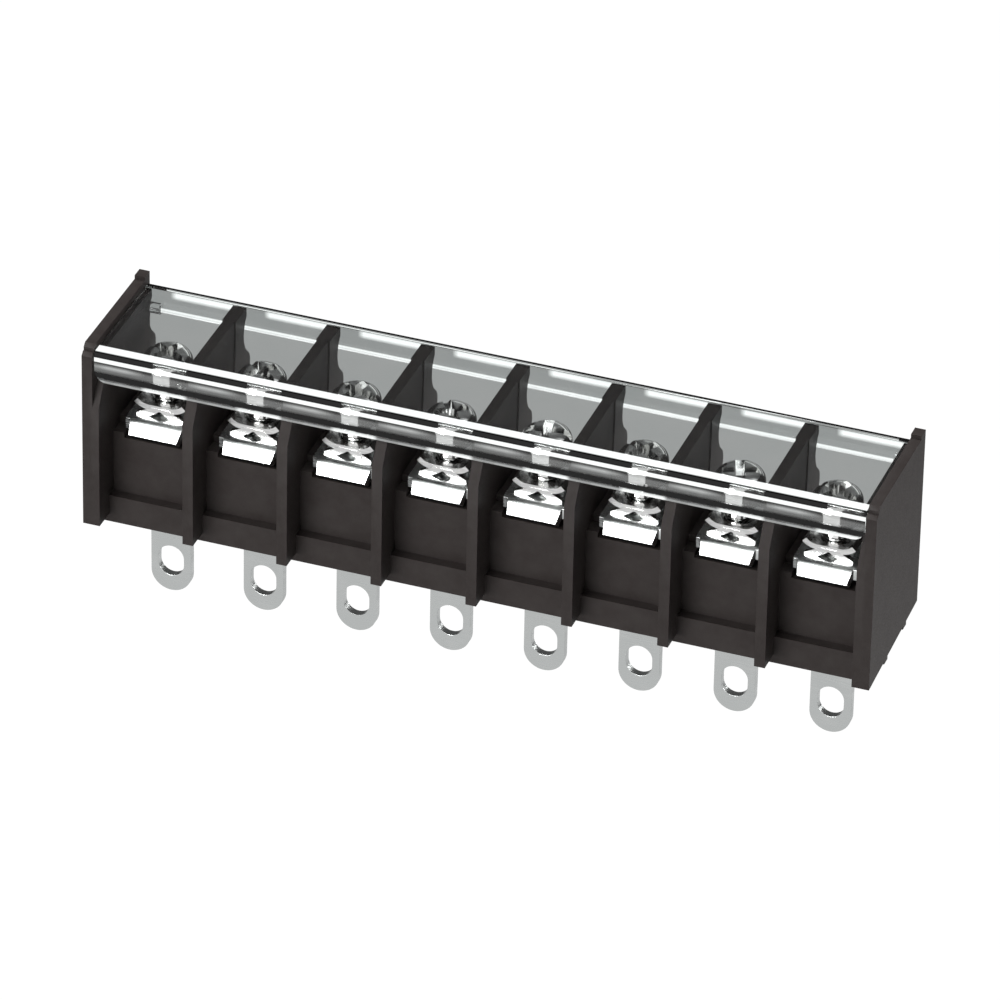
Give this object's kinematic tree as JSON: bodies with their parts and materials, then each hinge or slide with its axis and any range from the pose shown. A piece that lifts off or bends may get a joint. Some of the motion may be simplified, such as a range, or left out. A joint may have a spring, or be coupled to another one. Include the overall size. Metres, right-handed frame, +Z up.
{
  "type": "barrier terminal strip",
  "caption": "Single-row barrier terminal strip: black moulded body, clear hinged cover, captive clamp screws between barriers, and solder lugs below.",
  "frame": {"origin": "middle of the seat plane under the body: halfway along the strip, and midway between the barriers' front and rear edges", "axes": "+X along the strip, pole 1 to pole 8; -Y is the wiring side; +Z up, out of the panel that the body stands on"},
  "size_m": [0.0784, 0.0144, 0.0308],
  "materials": {
    "housing": "black glass-filled polyester, fine matt moulding texture",
    "cover": "clear polycarbonate, gloss",
    "contact": "brass strip, bright tin plate",
    "clamp": "pressed steel, bright nickel plate",
    "lock_washer": "spring steel, nickel plate",
    "screw": "steel, bright nickel plate"
  },
  "bodies": {
    "base": {"housing": "housing", "contact_1": "contact", "contact_2": "contact", "contact_3": "contact", "contact_4": "contact", "contact_5": "contact", "contact_6": "contact", "contact_7": "contact", "contact_8": "contact"},
    "cover": {"cover": "cover"},
    "clamp_1": {"clamp_1": "clamp"},
    "lock_washer_1": {"lock_washer_1": "lock_washer"},
    "screw_1": {"screw_1": "screw"},
    "clamp_2": {"clamp_2": "clamp"},
    "lock_washer_2": {"lock_washer_2": "lock_washer"},
    "screw_2": {"screw_2": "screw"},
    "clamp_3": {"clamp_3": "clamp"},
    "lock_washer_3": {"lock_washer_3": "lock_washer"},
    "screw_3": {"screw_3": "screw"},
    "clamp_4": {"clamp_4": "clamp"},
    "lock_washer_4": {"lock_washer_4": "lock_washer"},
    "screw_4": {"screw_4": "screw"},
    "clamp_5": {"clamp_5": "clamp"},
    "lock_washer_5": {"lock_washer_5": "lock_washer"},
    "screw_5": {"screw_5": "screw"},
    "clamp_6": {"clamp_6": "clamp"},
    "lock_washer_6": {"lock_washer_6": "lock_washer"},
    "screw_6": {"screw_6": "screw"},
    "clamp_7": {"clamp_7": "clamp"},
    "lock_washer_7": {"lock_washer_7": "lock_washer"},
    "screw_7": {"screw_7": "screw"},
    "clamp_8": {"clamp_8": "clamp"},
    "lock_washer_8": {"lock_washer_8": "lock_washer"},
    "screw_8": {"screw_8": "screw"}
  },
  "joints": [
    {"name": "cover_hinge", "type": "hinge", "parent": "base", "child": "cover", "pos_m": [0, 0.0063, 0.01715], "axis": [-1, 0, 0], "range_deg": [0, 105]},
    {"name": "clamp_1_lift", "type": "slide", "parent": "base", "child": "clamp_1", "axis": [0, 0, 1], "range_m": [0, 0.0013]},
    {"name": "lock_washer_1_slide", "type": "slide", "parent": "base", "child": "lock_washer_1", "axis": [0, 0, 1], "range_m": [-0.0013, 0]},
    {"name": "screw_1_turn", "type": "hinge", "parent": "lock_washer_1", "child": "screw_1", "pos_m": [-0.03325, -0.00025, 0.01515], "axis": [0, 0, 1], "range_deg": [-940, 0]},
    {"name": "clamp_2_lift", "type": "slide", "parent": "base", "child": "clamp_2", "axis": [0, 0, 1], "range_m": [0, 0.0013]},
    {"name": "lock_washer_2_slide", "type": "slide", "parent": "base", "child": "lock_washer_2", "axis": [0, 0, 1], "range_m": [-0.0013, 0]},
    {"name": "screw_2_turn", "type": "hinge", "parent": "lock_washer_2", "child": "screw_2", "pos_m": [-0.02375, -0.00025, 0.01515], "axis": [0, 0, 1], "range_deg": [-940, 0]},
    {"name": "clamp_3_lift", "type": "slide", "parent": "base", "child": "clamp_3", "axis": [0, 0, 1], "range_m": [0, 0.0013]},
    {"name": "lock_washer_3_slide", "type": "slide", "parent": "base", "child": "lock_washer_3", "axis": [0, 0, 1], "range_m": [-0.0013, 0]},
    {"name": "screw_3_turn", "type": "hinge", "parent": "lock_washer_3", "child": "screw_3", "pos_m": [-0.01425, -0.00025, 0.01515], "axis": [0, 0, 1], "range_deg": [-940, 0]},
    {"name": "clamp_4_lift", "type": "slide", "parent": "base", "child": "clamp_4", "axis": [0, 0, 1], "range_m": [0, 0.0013]},
    {"name": "lock_washer_4_slide", "type": "slide", "parent": "base", "child": "lock_washer_4", "axis": [0, 0, 1], "range_m": [-0.0013, 0]},
    {"name": "screw_4_turn", "type": "hinge", "parent": "lock_washer_4", "child": "screw_4", "pos_m": [-0.00475, -0.00025, 0.01515], "axis": [0, 0, 1], "range_deg": [-940, 0]},
    {"name": "clamp_5_lift", "type": "slide", "parent": "base", "child": "clamp_5", "axis": [0, 0, 1], "range_m": [0, 0.0013]},
    {"name": "lock_washer_5_slide", "type": "slide", "parent": "base", "child": "lock_washer_5", "axis": [0, 0, 1], "range_m": [-0.0013, 0]},
    {"name": "screw_5_turn", "type": "hinge", "parent": "lock_washer_5", "child": "screw_5", "pos_m": [0.00475, -0.00025, 0.01515], "axis": [0, 0, 1], "range_deg": [-940, 0]},
    {"name": "clamp_6_lift", "type": "slide", "parent": "base", "child": "clamp_6", "axis": [0, 0, 1], "range_m": [0, 0.0013]},
    {"name": "lock_washer_6_slide", "type": "slide", "parent": "base", "child": "lock_washer_6", "axis": [0, 0, 1], "range_m": [-0.0013, 0]},
    {"name": "screw_6_turn", "type": "hinge", "parent": "lock_washer_6", "child": "screw_6", "pos_m": [0.01425, -0.00025, 0.01515], "axis": [0, 0, 1], "range_deg": [-940, 0]},
    {"name": "clamp_7_lift", "type": "slide", "parent": "base", "child": "clamp_7", "axis": [0, 0, 1], "range_m": [0, 0.0013]},
    {"name": "lock_washer_7_slide", "type": "slide", "parent": "base", "child": "lock_washer_7", "axis": [0, 0, 1], "range_m": [-0.0013, 0]},
    {"name": "screw_7_turn", "type": "hinge", "parent": "lock_washer_7", "child": "screw_7", "pos_m": [0.02375, -0.00025, 0.01515], "axis": [0, 0, 1], "range_deg": [-940, 0]},
    {"name": "clamp_8_lift", "type": "slide", "parent": "base", "child": "clamp_8", "axis": [0, 0, 1], "range_m": [0, 0.0013]},
    {"name": "lock_washer_8_slide", "type": "slide", "parent": "base", "child": "lock_washer_8", "axis": [0, 0, 1], "range_m": [-0.0013, 0]},
    {"name": "screw_8_turn", "type": "hinge", "parent": "lock_washer_8", "child": "screw_8", "pos_m": [0.03325, -0.00025, 0.01515], "axis": [0, 0, 1], "range_deg": [-940, 0]}
  ],
  "couplings": [
    {"joint": "screw_1_turn", "follows": "lock_washer_1_slide", "rad_per_m": 12566},
    {"joint": "screw_2_turn", "follows": "lock_washer_2_slide", "rad_per_m": 12566},
    {"joint": "screw_3_turn", "follows": "lock_washer_3_slide", "rad_per_m": 12566},
    {"joint": "screw_4_turn", "follows": "lock_washer_4_slide", "rad_per_m": 12566},
    {"joint": "screw_5_turn", "follows": "lock_washer_5_slide", "rad_per_m": 12566},
    {"joint": "screw_6_turn", "follows": "lock_washer_6_slide", "rad_per_m": 12566},
    {"joint": "screw_7_turn", "follows": "lock_washer_7_slide", "rad_per_m": 12566},
    {"joint": "screw_8_turn", "follows": "lock_washer_8_slide", "rad_per_m": 12566}
  ]
}
